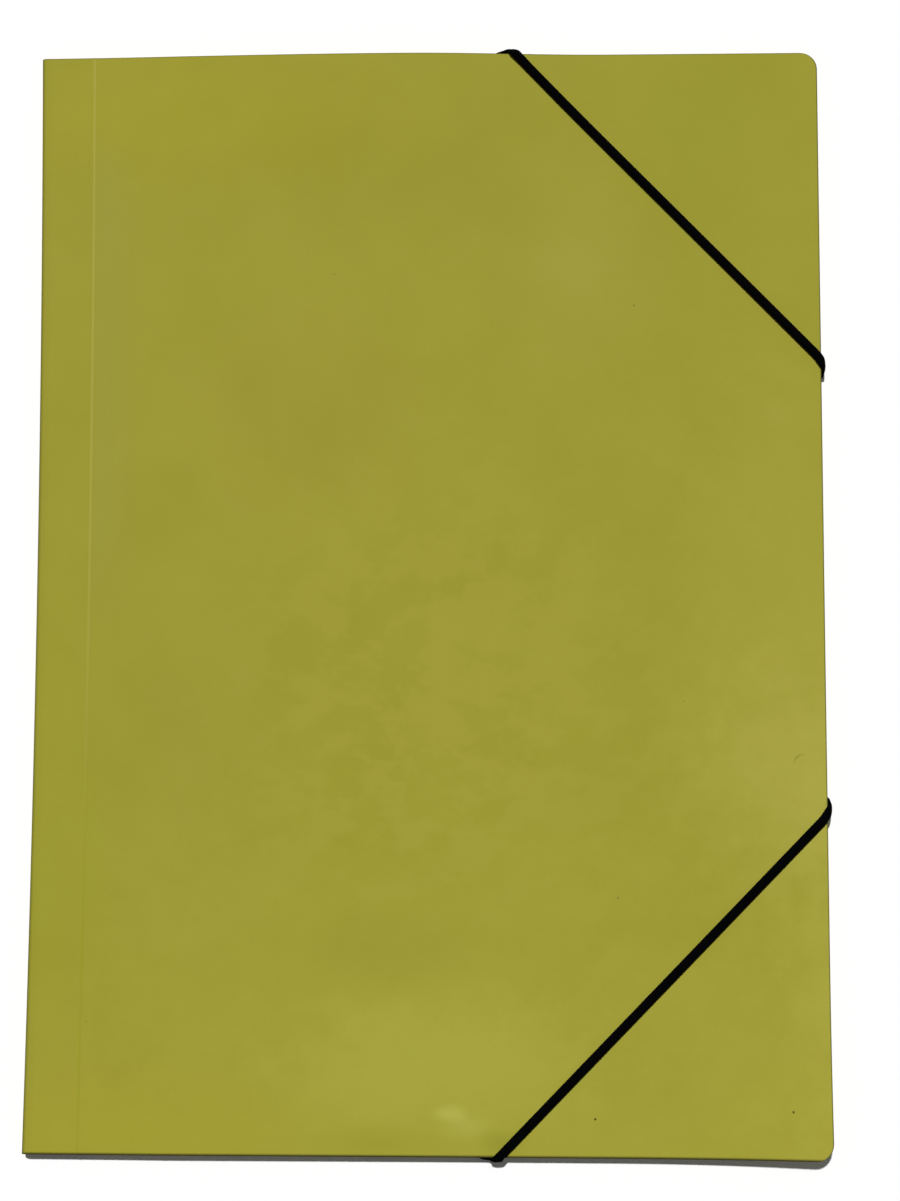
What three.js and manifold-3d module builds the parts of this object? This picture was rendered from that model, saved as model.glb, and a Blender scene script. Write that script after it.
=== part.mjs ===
// A three-flap folder of pressed card for A4 sheets, shut and lying on its back, with a flat elastic cord
// across each corner of its opening edge.
//
// Millimetres, Z up. The spine fold runs along Y on the -X side and the opening edge is on the +X side. The
// origin is on the table, under the middle of the folder and its cords. Until the last step, X starts at the
// spine's outer face and Y at the middle of the folder's height.

import * as THREE from "three";
import { mergeVertices } from "three/addons/utils/BufferGeometryUtils.js";
import Module from "manifold-3d";

const wasm = await Module();
wasm.setup();

// Card
const COVER_WIDTH = 230; // spine fold to opening edge
const COVER_HEIGHT = 320;
const CARD = 0.4; // thickness of the pressed card
const LAYER_GAP = 0.2; // air between two layers that lie on each other
const COVER_CORNER_R = 5; // at the opening edge
const SCORE_INSET = 16; // from the spine to the scored line beside it
const SCORE_WIDTH = 0.6;
const SCORE_DEPTH = 0.1;
const HINGE_GAP = 0.3; // between the two halves of the spine fold

// Flaps, folded in from the back cover's edges
const FOLD_INSET = 0.8; // the folded edges stand back from the front cover's edges by this
const FOLD_CORNER_GAP = 9; // from the back cover's corner to where a fold starts
const FOLD_SCORE_GAP = 4; // from the scored line to where the end flaps start
const END_FLAP_DEPTH = 85; // of the top and bottom flaps
const SIDE_FLAP_DEPTH = 100;
const FLAP_SLANT = 16; // each end of a flap draws in by this over its depth
const FLAP_CORNER_R = 10;
const FOLD_LAP = 2; // a fold's section runs this far into the flat card on both sides

// Elastic cords
const CORD_WIDTH = 2.6;
const CORD_THICK = 1.2;
const CORD_CLEARANCE = 0.1; // between a cord and the card that it lies on
const CORD_BEND_R = 0.8; // of the cord's middle, round an edge and into a hole
const SIDE_LEAN = 13; // degrees: before the opening edge a cord turns this much further along that edge
const SIDE_LEAN_RUN = 3.5; // length of cord over which it does
const SIDE_SQUARE = 25; // degrees: past that edge it turns back to this angle from the edge's square
const SIDE_SQUARE_RUN = 3;
const UPPER_REACH = { alongEnd: 89, alongSide: 91.8 }; // from the corner to the ends of the straight run
const LOWER_REACH = { alongEnd: 94.2, alongSide: 96.6 };
const HOLE_INSET = 11.5; // from the front cover's edge to a cord hole's middle
const HOLE_R = 1.5;

// Metal cord ends, flat bars inside the back cover, across the holes
const BAR_LENGTH = 14;
const BAR_WIDTH = 3;
const BAR_WAIST = 2.2; // width where the bar is crimped on the cord
const BAR_CRIMP = 3; // length of the crimped stretch
const BAR_THICK = 0.6;
const BAR_CLEARANCE = 0.1; // over, under, and to the end of the cord

// Fineness of the round shapes
const ARC_SEGMENTS = 10;
const CORD_SECTION_SEGMENTS = 5; // on each round side of a cord
const CORD_BEND_STEP = 0.5; // along a cord where it turns round an edge
const CORD_STRAIGHT_STEPS = 6;
const CORD_HOLE_STEPS = 5;
const CUT_OVERSHOOT = 1;

// Levels, from the table up: each is the underside of a layer
const BACK_Z = CORD_THICK + CORD_CLEARANCE;
const BAR_LEVEL = BACK_Z + CARD + BAR_CLEARANCE;
const END_FLAP_SPACE = BAR_THICK + 2 * BAR_CLEARANCE;
const SIDE_FLAP_SPACE = END_FLAP_SPACE + CARD + LAYER_GAP;
const FRONT_Z = BACK_Z + CARD + SIDE_FLAP_SPACE + CARD + LAYER_GAP;
const FRONT_TOP = FRONT_Z + CARD;
const SPINE_Z = (BACK_Z + FRONT_TOP) / 2;
const SPINE_R = (FRONT_TOP - BACK_Z) / 2;

const cardMaterial = { color: 0x9d9937, roughness: 0.6, metalness: 0 };
const elasticMaterial = { color: 0x151515, roughness: 0.85, metalness: 0 };
const steelMaterial = { color: 0xb4b6b8, roughness: 0.35, metalness: 1 };

/** The solid of a closed geometry. */
function solidOf(geometry) {
  const bare = geometry.clone();
  bare.deleteAttribute("normal");
  bare.deleteAttribute("uv");
  const merged = mergeVertices(bare);
  const vertProperties = new Float32Array(merged.attributes.position.array);
  const triVerts = new Uint32Array(merged.index.array);
  return new wasm.Manifold(new wasm.Mesh({ numProp: 3, vertProperties, triVerts }));
}

/** The geometry of a solid. */
function geometryOf(solid) {
  const { vertProperties, triVerts } = solid.getMesh();
  const geometry = new THREE.BufferGeometry();
  geometry.setAttribute("position", new THREE.BufferAttribute(vertProperties, 3));
  geometry.setIndex(new THREE.BufferAttribute(triVerts, 1));
  geometry.computeVertexNormals();
  return geometry;
}

/** A prism of a plan outline, from one level up by a height. */
function prism(outline, bottom, height) {
  const options = { depth: height, bevelEnabled: false, curveSegments: ARC_SEGMENTS };
  return new THREE.ExtrudeGeometry(outline, options).translate(0, 0, bottom);
}

/** A bar of an XZ section, along Y and centred on it. */
function barAlongY(section, length) {
  const options = { depth: length, bevelEnabled: false, curveSegments: ARC_SEGMENTS };
  return new THREE.ExtrudeGeometry(section, options).rotateX(Math.PI / 2).translate(0, length / 2, 0);
}

/** One cover with its half of the spine fold, from the spine to a width, with the spine's middle at Z = 0. */
function coverStrip(width, height) {
  const inner = SPINE_R - CARD;
  const cut = HINGE_GAP / 2;
  const outerEnd = Math.PI - Math.asin(cut / SPINE_R);
  const innerEnd = Math.PI - Math.asin(cut / inner);
  const section = new THREE.Shape();
  section.moveTo(SPINE_R + SPINE_R * Math.cos(outerEnd), cut);
  section.absarc(SPINE_R, 0, SPINE_R, outerEnd, Math.PI / 2, true);
  section.lineTo(SCORE_INSET - SCORE_WIDTH / 2, SPINE_R);
  section.lineTo(SCORE_INSET, SPINE_R - SCORE_DEPTH);
  section.lineTo(SCORE_INSET + SCORE_WIDTH / 2, SPINE_R);
  section.lineTo(width, SPINE_R);
  section.lineTo(width, inner);
  section.lineTo(SPINE_R, inner);
  section.absarc(SPINE_R, 0, inner, Math.PI / 2, innerEnd, false);
  return barAlongY(section, height);
}

/** The front cover, with its opening edge's corners rounded. */
function frontCover() {
  const top = COVER_HEIGHT / 2;
  const outline = new THREE.Shape();
  outline.moveTo(-CUT_OVERSHOOT, -top);
  outline.lineTo(COVER_WIDTH - COVER_CORNER_R, -top);
  outline.absarc(COVER_WIDTH - COVER_CORNER_R, COVER_CORNER_R - top, COVER_CORNER_R, -Math.PI / 2, 0, false);
  outline.absarc(COVER_WIDTH - COVER_CORNER_R, top - COVER_CORNER_R, COVER_CORNER_R, 0, Math.PI / 2, false);
  outline.lineTo(-CUT_OVERSHOOT, top);
  const strip = coverStrip(COVER_WIDTH, COVER_HEIGHT).translate(0, 0, SPINE_Z);
  const plan = prism(outline, -CUT_OVERSHOOT, FRONT_TOP + 2 * CUT_OVERSHOOT);
  return solidOf(strip).intersect(solidOf(plan));
}

/**
 * A flap and its fold. The fold runs along X, centred, with the back cover's underside at Z = 0 and the
 * card's folded edge at Y = 0, and the flap comes back over the cover towards -Y.
 */
function flap(length, depth, space) {
  const inner = space / 2;
  const outer = inner + CARD;
  const section = new THREE.Shape();
  section.moveTo(outer + FOLD_LAP, 0);
  section.lineTo(outer + FOLD_LAP, CARD);
  section.lineTo(outer, CARD);
  section.absarc(outer, outer, inner, -Math.PI / 2, Math.PI / 2, true);
  section.lineTo(outer + FOLD_LAP, CARD + space);
  section.lineTo(outer + FOLD_LAP, 2 * CARD + space);
  section.lineTo(outer, 2 * CARD + space);
  section.absarc(outer, outer, outer, Math.PI / 2, -Math.PI / 2, false);
  const fold = barAlongY(section, length).rotateZ(-Math.PI / 2);
  const half = length / 2;
  const free = half - FLAP_SLANT;
  const outline = new THREE.Shape();
  outline.moveTo(half, -outer);
  outline.lineTo(-half, -outer);
  outline.lineTo(-free - (FLAP_SLANT * FLAP_CORNER_R) / depth, FLAP_CORNER_R - depth);
  outline.quadraticCurveTo(-free, -depth, FLAP_CORNER_R - free, -depth);
  outline.lineTo(free - FLAP_CORNER_R, -depth);
  outline.quadraticCurveTo(free, -depth, free + (FLAP_SLANT * FLAP_CORNER_R) / depth, FLAP_CORNER_R - depth);
  return solidOf(fold).add(solidOf(prism(outline, CARD + space, CARD)));
}

/** The back cover, its holes and its three flaps, all one sheet of card. */
function backCover(holes) {
  const right = COVER_WIDTH - FOLD_INSET;
  const top = COVER_HEIGHT / 2 - FOLD_INSET;
  const endStart = SCORE_INSET + FOLD_SCORE_GAP;
  const endStop = right - FOLD_CORNER_GAP;
  const sideStop = top - FOLD_CORNER_GAP;
  const endLine = top - CARD - END_FLAP_SPACE / 2;
  const sideLine = right - CARD - SIDE_FLAP_SPACE / 2;
  const outline = new THREE.Shape();
  outline.moveTo(-CUT_OVERSHOOT, -top);
  outline.lineTo(endStart, -top);
  outline.lineTo(endStart, -endLine);
  outline.lineTo(endStop, -endLine);
  outline.lineTo(endStop, -top);
  outline.lineTo(right - COVER_CORNER_R, -top);
  outline.absarc(right - COVER_CORNER_R, COVER_CORNER_R - top, COVER_CORNER_R, -Math.PI / 2, 0, false);
  outline.lineTo(right, -sideStop);
  outline.lineTo(sideLine, -sideStop);
  outline.lineTo(sideLine, sideStop);
  outline.lineTo(right, sideStop);
  outline.absarc(right - COVER_CORNER_R, top - COVER_CORNER_R, COVER_CORNER_R, 0, Math.PI / 2, false);
  outline.lineTo(endStop, top);
  outline.lineTo(endStop, endLine);
  outline.lineTo(endStart, endLine);
  outline.lineTo(endStart, top);
  outline.lineTo(-CUT_OVERSHOOT, top);
  for (const hole of holes) {
    outline.holes.push(new THREE.Path().absarc(hole.x, hole.y, HOLE_R, 0, 2 * Math.PI, true));
  }
  const strip = coverStrip(right, COVER_HEIGHT).rotateX(Math.PI).translate(0, 0, SPINE_Z);
  const plan = prism(outline, -CUT_OVERSHOOT, FRONT_TOP + 2 * CUT_OVERSHOOT);
  const endFlap = flap(endStop - endStart, END_FLAP_DEPTH, END_FLAP_SPACE);
  const sideFlap = flap(2 * sideStop, SIDE_FLAP_DEPTH, SIDE_FLAP_SPACE);
  const endMiddle = (endStart + endStop) / 2;
  return solidOf(strip)
    .intersect(solidOf(plan))
    .add(endFlap.translate(endMiddle, top, BACK_Z))
    .add(endFlap.rotate(0, 0, 180).translate(endMiddle, -top, BACK_Z))
    .add(sideFlap.rotate(0, 0, -90).translate(right, 0, BACK_Z));
}

/** The way of a cord, laid out flat in the front cover's plane and then carried round the folder's edges. */
class CordRoute {
  /**
   * side is 1 for the upper corner and -1 for the lower one, and reach says how far from the corner the
   * cord's straight run meets the end edge and the opening edge.
   */
  constructor(side, reach) {
    this.side = side;
    this.reach = reach;
    this.slope = Math.atan2(reach.alongSide, reach.alongEnd);
    this.lift = CORD_CLEARANCE + CORD_THICK / 2;
    this.setIn = CORD_BEND_R - this.lift; // an edge's turn starts this far inside the edge
    this.fall = FRONT_TOP - BACK_Z + 2 * this.lift - 2 * CORD_BEND_R; // straight part of the way down an edge
    this.turn = (Math.PI / 2) * CORD_BEND_R;
    this.around = 2 * this.turn + this.fall;
    const beyond = this.around + HOLE_INSET - 2 * this.setIn;
    this.legs = this.flatLegs();
    const turned = this.legs[0].length + SIDE_LEAN_RUN + SIDE_SQUARE_RUN;
    const { x, heading } = this.flat(turned);
    this.first = -beyond / Math.sin(this.slope); // the hole at the end edge, from the edge crossing
    this.last = turned + (COVER_WIDTH + beyond - x) / Math.cos(heading); // the hole at the opening edge
  }

  /** The legs of the flat route, each with its length and its turn to the left. */
  flatLegs() {
    const lean = THREE.MathUtils.degToRad(SIDE_LEAN);
    const square = THREE.MathUtils.degToRad(SIDE_SQUARE);
    const leaning = SIDE_LEAN_RUN * Math.cos(this.slope + lean / 2);
    return [
      { length: (this.reach.alongEnd - leaning) / Math.cos(this.slope), turn: 0 },
      { length: SIDE_LEAN_RUN, turn: -lean },
      { length: SIDE_SQUARE_RUN, turn: this.slope + lean - square },
      { length: Infinity, turn: 0 },
    ];
  }

  /** The place and heading of the cord's middle line, laid out flat, at a distance from the end edge. */
  flat(distance) {
    let x = COVER_WIDTH - this.reach.alongEnd;
    let y = COVER_HEIGHT / 2;
    let heading = -this.slope;
    let begun = 0;
    for (const { length, turn } of this.legs) {
      const run = THREE.MathUtils.clamp(distance - begun, begun > 0 ? 0 : -Infinity, length);
      const half = (turn * run) / length / 2;
      const chord = half === 0 ? run : (run * Math.sin(half)) / half;
      x += chord * Math.cos(heading + half);
      y += chord * Math.sin(heading + half);
      heading += 2 * half;
      begun += length;
    }
    return { x, y, heading };
  }

  /** The section of an edge's turn: how far out from its start and how high a point of the cord lies. */
  overEdge(travel, out) {
    const radius = CORD_BEND_R + out;
    const top = FRONT_TOP + this.lift - CORD_BEND_R;
    const bottom = BACK_Z - this.lift + CORD_BEND_R;
    if (travel < 0) {
      return [travel, top + radius];
    }
    if (travel < this.turn) {
      const angle = travel / CORD_BEND_R;
      return [radius * Math.sin(angle), top + radius * Math.cos(angle)];
    }
    if (travel < this.turn + this.fall) {
      return [radius, top - (travel - this.turn)];
    }
    if (travel < this.around) {
      const angle = (travel - this.turn - this.fall) / CORD_BEND_R;
      return [radius * Math.cos(angle), bottom - radius * Math.sin(angle)];
    }
    return [this.around - travel, bottom - radius];
  }

  /** The place of a point that is laid out flat at x, y and stands out from the cord's middle. */
  wrap(x, y, out) {
    const endLine = COVER_HEIGHT / 2 - this.setIn;
    const sideLine = COVER_WIDTH - this.setIn;
    const pastEnd = y - endLine;
    const pastSide = x - sideLine;
    if (pastEnd > 0) {
      const [reach, z] = this.overEdge(pastEnd, out);
      return new THREE.Vector3(x, this.side * (endLine + reach), z);
    }
    const [reach, z] = this.overEdge(pastSide, out);
    return new THREE.Vector3(sideLine + reach, this.side * y, z);
  }

  /**
   * The place of a point of the straightened cord: its distance from the first edge crossing, its offset
   * across the width, and how far it stands out from the cord's middle. Both ends turn in through the holes.
   */
  at(distance, across, out) {
    const pastFirst = this.first + CORD_BEND_R - distance;
    const pastLast = distance - (this.last - CORD_BEND_R);
    const past = Math.max(pastFirst, pastLast, 0);
    const way = pastFirst > pastLast ? -1 : 1;
    const angle = Math.min(past / CORD_BEND_R, Math.PI / 2);
    const radius = CORD_BEND_R + out;
    const rise = Math.max(past - this.turn, 0);
    const middle = this.flat(distance - way * past);
    const along = way * radius * Math.sin(angle);
    const aside = across * this.side;
    const height = radius * Math.cos(angle) - CORD_BEND_R - rise;
    const x = middle.x + along * Math.cos(middle.heading) - aside * Math.sin(middle.heading);
    const y = middle.y + along * Math.sin(middle.heading) + aside * Math.cos(middle.heading);
    return this.wrap(x, y, height);
  }

  /** The distances where the cord is upright in its two holes. */
  upright() {
    return [this.first + CORD_BEND_R - this.turn, this.last - CORD_BEND_R + this.turn];
  }

  /** The middles of the two cord holes. */
  holes() {
    return this.upright().map((distance) => this.at(distance, 0, 0));
  }

  /** The distances at which the cord has a section, close together where it bends. */
  stations() {
    const tail = this.turn + BAR_LEVEL - BAR_CLEARANCE - CORD_THICK / 2 - CORD_BEND_R;
    const spread = CORD_WIDTH / 2; // the width reaches this far before and behind
    const firstBend = this.first + CORD_BEND_R;
    const lastBend = this.last - CORD_BEND_R;
    const endTurn = -this.around / Math.sin(this.slope);
    const sideStart = this.legs[0].length;
    const stops = [
      [firstBend - tail, firstBend, CORD_HOLE_STEPS],
      [firstBend, endTurn - spread, 1],
      [endTurn - spread, spread, Math.ceil((2 * spread - endTurn) / CORD_BEND_STEP)],
      [spread, sideStart, CORD_STRAIGHT_STEPS],
      [sideStart, lastBend, Math.ceil((lastBend - sideStart) / CORD_BEND_STEP)],
      [lastBend, lastBend + tail, CORD_HOLE_STEPS],
    ];
    const distances = [firstBend - tail];
    for (const [from, to, steps] of stops) {
      for (let step = 1; step <= steps; step += 1) {
        distances.push(from + ((to - from) * step) / steps);
      }
    }
    return distances;
  }

  /** The cord: a straight prism of its flat section, with each of its points carried to its place. */
  geometry() {
    const round = CORD_THICK / 2;
    const flat = CORD_WIDTH / 2 - round;
    const section = new THREE.Shape();
    section.absarc(flat, 0, round, -Math.PI / 2, Math.PI / 2, false);
    section.absarc(-flat, 0, round, Math.PI / 2, (3 * Math.PI) / 2, false);
    const distances = this.stations();
    const steps = distances.length - 1;
    const options = { depth: steps, steps, bevelEnabled: false, curveSegments: CORD_SECTION_SEGMENTS };
    const cord = new THREE.ExtrudeGeometry(section, options);
    const position = cord.attributes.position;
    for (let i = 0; i < position.count; i += 1) {
      const station = Math.round(position.getZ(i));
      const place = this.at(distances[station], position.getX(i), position.getY(i));
      position.setXYZ(i, place.x, place.y, place.z);
    }
    return cord;
  }
}

/** A metal cord end over one hole, lying across the cord's run beneath the cover. */
function cordEnd(route, distance) {
  const half = BAR_LENGTH / 2;
  const waist = BAR_WAIST / 2;
  const width = BAR_WIDTH / 2;
  const crimp = BAR_CRIMP / 2;
  const outline = new THREE.Shape();
  outline.moveTo(crimp, -waist);
  outline.lineTo(crimp + width - waist, -width);
  outline.absarc(half - width, 0, width, -Math.PI / 2, Math.PI / 2, false);
  outline.lineTo(crimp + width - waist, width);
  outline.lineTo(crimp, waist);
  outline.lineTo(-crimp, waist);
  outline.lineTo(-crimp - width + waist, width);
  outline.absarc(width - half, 0, width, Math.PI / 2, (3 * Math.PI) / 2, false);
  outline.lineTo(-crimp - width + waist, -width);
  outline.lineTo(-crimp, -waist);
  const middle = route.at(distance, 0, 0);
  const edge = route.at(distance, CORD_WIDTH / 2, 0);
  const turn = Math.atan2(edge.y - middle.y, edge.x - middle.x);
  return prism(outline, BAR_LEVEL, BAR_THICK).rotateZ(turn).translate(middle.x, middle.y, 0);
}

/** A named mesh of one sub-part. */
function piece(name, geometry, look) {
  const mesh = new THREE.Mesh(geometry, new THREE.MeshStandardMaterial(look));
  mesh.name = name;
  return mesh;
}

const upper = new CordRoute(1, UPPER_REACH);
const lower = new CordRoute(-1, LOWER_REACH);
const upperEnds = upper.upright();
const lowerEnds = lower.upright();

const folder = new THREE.Group();
folder.add(piece("front_cover", geometryOf(frontCover()), cardMaterial));
folder.add(piece("back_cover", geometryOf(backCover([...upper.holes(), ...lower.holes()])), cardMaterial));
folder.add(piece("elastic_upper", upper.geometry(), elasticMaterial));
folder.add(piece("elastic_lower", lower.geometry(), elasticMaterial));
folder.add(piece("cord_end_top", cordEnd(upper, upperEnds[0]), steelMaterial));
folder.add(piece("cord_end_upper_right", cordEnd(upper, upperEnds[1]), steelMaterial));
folder.add(piece("cord_end_lower_right", cordEnd(lower, lowerEnds[1]), steelMaterial));
folder.add(piece("cord_end_bottom", cordEnd(lower, lowerEnds[0]), steelMaterial));
folder.position.x = -(COVER_WIDTH + CORD_CLEARANCE + CORD_THICK) / 2;

export default folder;
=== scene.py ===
"""Looks of a closed A4 folder of olive card, held shut by a flat elastic cord across each opening corner.

Metres throughout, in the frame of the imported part: +X from the spine to the opening edge, +Y up the page and
+Z from the table to the front cover. The folder lies on its back, and the camera looks down on it.
"""

import logging
import math
from collections.abc import Callable
from dataclasses import dataclass
from enum import Enum

import bmesh
import bpy
import numpy as np
from mathutils import Matrix, Vector


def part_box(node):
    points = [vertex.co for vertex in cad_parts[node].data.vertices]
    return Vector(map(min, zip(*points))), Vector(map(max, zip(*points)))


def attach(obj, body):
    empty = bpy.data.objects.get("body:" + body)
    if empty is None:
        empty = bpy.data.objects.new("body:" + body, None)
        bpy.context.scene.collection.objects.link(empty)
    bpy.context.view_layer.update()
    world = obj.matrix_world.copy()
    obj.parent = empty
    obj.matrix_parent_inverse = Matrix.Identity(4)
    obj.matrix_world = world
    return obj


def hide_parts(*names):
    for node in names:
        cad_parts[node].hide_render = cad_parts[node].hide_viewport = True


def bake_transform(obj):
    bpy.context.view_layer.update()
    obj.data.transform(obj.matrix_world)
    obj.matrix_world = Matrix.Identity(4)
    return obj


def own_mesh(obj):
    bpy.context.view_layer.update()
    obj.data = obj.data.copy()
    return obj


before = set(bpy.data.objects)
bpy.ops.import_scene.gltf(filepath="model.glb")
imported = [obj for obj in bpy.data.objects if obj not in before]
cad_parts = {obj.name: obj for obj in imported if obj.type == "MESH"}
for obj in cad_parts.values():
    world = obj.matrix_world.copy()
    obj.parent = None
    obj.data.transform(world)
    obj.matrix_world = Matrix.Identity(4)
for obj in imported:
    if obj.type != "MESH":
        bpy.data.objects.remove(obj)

MM = 0.001
LOG = logging.getLogger("folder")

# Places closer than TINY are one place, and points closer than WELD become one point. A run that is longer
# than a whole number of steps by under SLACK of a step gets none more.
TINY = 1e-7
WELD = 1e-6
SLACK = 1e-6

Pair = tuple[float, float]
Triple = tuple[float, float, float]
Levels = tuple[float, float, float, float]
Colour = Levels
Socket = bpy.types.NodeSocket
Placer = Callable[[np.ndarray, np.ndarray, np.ndarray], np.ndarray]

FRONT_LOW, FRONT_HIGH = (np.array(corner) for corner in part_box("front_cover"))
BACK_LOW = np.array(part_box("back_cover")[0])
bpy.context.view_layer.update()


class Body(Enum):
    """The rigid bodies that the pieces ride on."""

    BACK = "back"
    FRONT = "front"


class Slot(Enum):
    """The record's material slots."""

    CARD = "card"
    ELASTIC = "elastic"
    METAL = "cord_end_metal"


@dataclass(frozen=True)
class Card:
    """Sizes of the folded card, shared by both covers.

    Fields:
        thick: thickness of the card.
        edge_break: width of the bevel that its cut edges have, in edge_steps facets, where two faces meet at
            more than edge_angle.
        spine_x: outer face of the spine fold.
        edge_x: opening edge of the front cover.
        half_height: from the middle to an end edge of the front cover.
        back_z: underside of the back cover.
        front_z: upper face of the front cover.
        score_inset: from the spine to the scored line.
        corner_radius: of both covers at the opening edge, drawn in corner_steps.
    """

    thick: float = 0.4 * MM
    edge_break: float = 0.14 * MM
    edge_steps: int = 2
    edge_angle: float = math.radians(50)
    spine_x: float = float(FRONT_LOW[0])
    edge_x: float = float(FRONT_HIGH[0])
    half_height: float = float(FRONT_HIGH[1])
    back_z: float = float(BACK_LOW[2])
    front_z: float = float(FRONT_HIGH[2])
    score_inset: float = 16 * MM
    corner_radius: float = 5 * MM
    corner_steps: int = 8

    @property
    def spine_z(self) -> float:
        """Return the height of the spine fold's middle."""
        return (self.back_z + self.front_z) / 2

    @property
    def spine_radius(self) -> float:
        """Return the outer radius of the spine fold."""
        return (self.front_z - self.back_z) / 2

    @property
    def score_x(self) -> float:
        """Return the scored line's X."""
        return self.spine_x + self.score_inset

    @property
    def corner_rows(self) -> np.ndarray:
        """Return the distances from an end edge of the rows that shape a corner, by equal angles."""
        return self.corner_radius * (1 - np.cos(np.linspace(0, np.pi / 2, self.corner_steps + 1)))

    def face(self, place: Pair) -> Triple:
        """Return the point in the front cover's sheet at a place in mm from the spine and the foot."""
        x, y = place
        return self.spine_x + x * MM, y * MM - self.half_height, self.front_z - self.thick / 2


CARD = Card()


@dataclass(frozen=True)
class Warp:
    """How the card has settled out of flat.

    Fields:
        spine_draw: the spine lies this far in at mid-height.
        spine_fade: distance from the spine over which that dies away.
        lift: how far the front cover stands up at its head, between the spine and the upper cord.
        lift_x: where along the head the lift is greatest.
        lift_spread: half-length of the lifted stretch towards the spine and towards the cord.
        lift_fade: distance from the head edge over which the lift dies away.
        curl: how far the corner below the lower cord curls up, over curl_reach from it along its edges.
        wave: height of the slow waves over the front cover, which grow over wave_start from the spine.
        wave_terms: of each wave, its radians per metre along X and along Y, and its phase.
    """

    spine_draw: float = 1.3 * MM
    spine_fade: float = 90 * MM
    lift: float = 2.6 * MM
    lift_x: float = CARD.spine_x + 108 * MM
    lift_spread: Pair = (120 * MM, 62 * MM)
    lift_fade: float = 60 * MM
    curl: float = 2.6 * MM
    curl_reach: float = 60 * MM
    wave: float = 0.35 * MM
    wave_start: float = 40 * MM
    wave_terms: tuple[Triple, ...] = ((31, 12, 0.6), (-24, 19, 2.1), (17, 47, 4.0))

    def draw(self, x: np.ndarray, y: np.ndarray) -> np.ndarray:
        """Return how far points move towards +X: a parabola along the spine, fading across the cover.

        Args:
            x: their X on the flat cover.
            y: their Y.

        Returns:
            The distances, spine_draw at the middle of the spine.
        """
        along = 1 - (y / CARD.half_height) ** 2
        across = np.clip(1 - (x - CARD.spine_x) / self.spine_fade, 0, 1)
        return self.spine_draw * along * across**2

    def height(self, x: np.ndarray, y: np.ndarray) -> np.ndarray:
        """Return how far the front cover stands above its flat place.

        A cosine hump at the head edge that dies away down the page, a squared rise to the lower corner of the
        opening edge, and three slow crossed waves that are nothing at the spine.

        Args:
            x: X of points on the flat cover.
            y: their Y.

        Returns:
            The heights.
        """
        side = np.where(x < self.lift_x, *self.lift_spread)
        hump = 0.5 + 0.5 * np.cos(np.pi * np.clip((x - self.lift_x) / side, -1, 1))
        down = np.clip((CARD.half_height - y) / self.lift_fade, 0, 1)
        head = self.lift * hump * (1 - down) ** 2 * (1 + 2 * down)
        from_corner = np.clip(CARD.edge_x - x, 0, None) + np.clip(CARD.half_height + y, 0, None)
        corner = self.curl * np.clip(1 - from_corner / self.curl_reach, 0, 1) ** 2
        from_spine = np.clip((x - CARD.spine_x) / self.wave_start, 0, 1)
        waves = sum(np.sin(by_x * x + by_y * y + phase) for by_x, by_y, phase in self.wave_terms)
        share = 0.5 + waves / (2 * len(self.wave_terms))
        return head + corner + self.wave * from_spine**2 * share


WARP = Warp()


def spaced(stops: list[float], step: float) -> np.ndarray:
    """Return positions through all the stops, evenly spaced between them.

    Args:
        stops: rising positions that must be hit.
        step: the widest spacing allowed.

    Returns:
        The positions, each stop among them once.
    """
    runs = [
        np.linspace(low, high, max(1, math.ceil((high - low) / step - SLACK)), endpoint=False)
        for low, high in zip(stops, stops[1:])
    ]
    return np.concatenate([*runs, [stops[-1]]])


def grid_faces(rows: int, columns: int, keep: np.ndarray | None = None) -> np.ndarray:
    """Return the quads of a grid of points numbered row by row.

    Args:
        rows: how many rows of points.
        columns: how many points in a row.
        keep: which cells have a quad, or None for all.

    Returns:
        An array of quads, turning anticlockwise where columns run along X and rows along Y.
    """
    index = np.arange(rows * columns).reshape(rows, columns)
    quads = np.stack([index[:-1, :-1], index[:-1, 1:], index[1:, 1:], index[1:, :-1]], axis=-1)
    return quads[keep] if keep is not None else quads.reshape(-1, 4)


def corner_pull(distance: np.ndarray, radius: float) -> np.ndarray:
    """Return how far a rounded corner draws an edge in, at a distance from the corner's end."""
    short = np.clip(radius - distance, 0, radius)
    return radius - np.sqrt(radius**2 - short**2)


class MeshPiece:
    """One Blender mesh object made from whole arrays of points and faces."""

    def __init__(self, name: str) -> None:
        """Start an empty piece.

        Args:
            name: of its object and its mesh.
        """
        self.name = name
        self.points: list[np.ndarray] = []
        self.quads: list[np.ndarray] = []
        self.count = 0

    def add(self, points: np.ndarray, quads: np.ndarray) -> None:
        """Add a patch.

        Args:
            points: its points, in any grid shape.
            quads: the faces that join them, by their numbers within the patch.
        """
        flat = points.reshape(-1, 3)
        self.points.append(flat)
        self.quads.append(quads + self.count)
        self.count += len(flat)

    def build(self, weld: float = 0.0, closed: bool = False) -> bpy.types.Object:
        """Return the object.

        Args:
            weld: points closer than this become one; 0 leaves them.
            closed: whether the faces enclose the piece, and so are turned outwards.

        Returns:
            The new object, linked to the scene and shaded smooth.
        """
        mesh = bpy.data.meshes.new(self.name)
        mesh.from_pydata(np.concatenate(self.points).tolist(), [], np.concatenate(self.quads).tolist())
        if weld or closed:
            work = bmesh.new()
            work.from_mesh(mesh)
            if weld:
                bmesh.ops.remove_doubles(work, verts=work.verts, dist=weld)
            bmesh.ops.recalc_face_normals(work, faces=work.faces)
            work.to_mesh(mesh)
            work.free()
        mesh.shade_smooth()
        piece = bpy.data.objects.new(self.name, mesh)
        bpy.context.scene.collection.objects.link(piece)
        return piece


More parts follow.
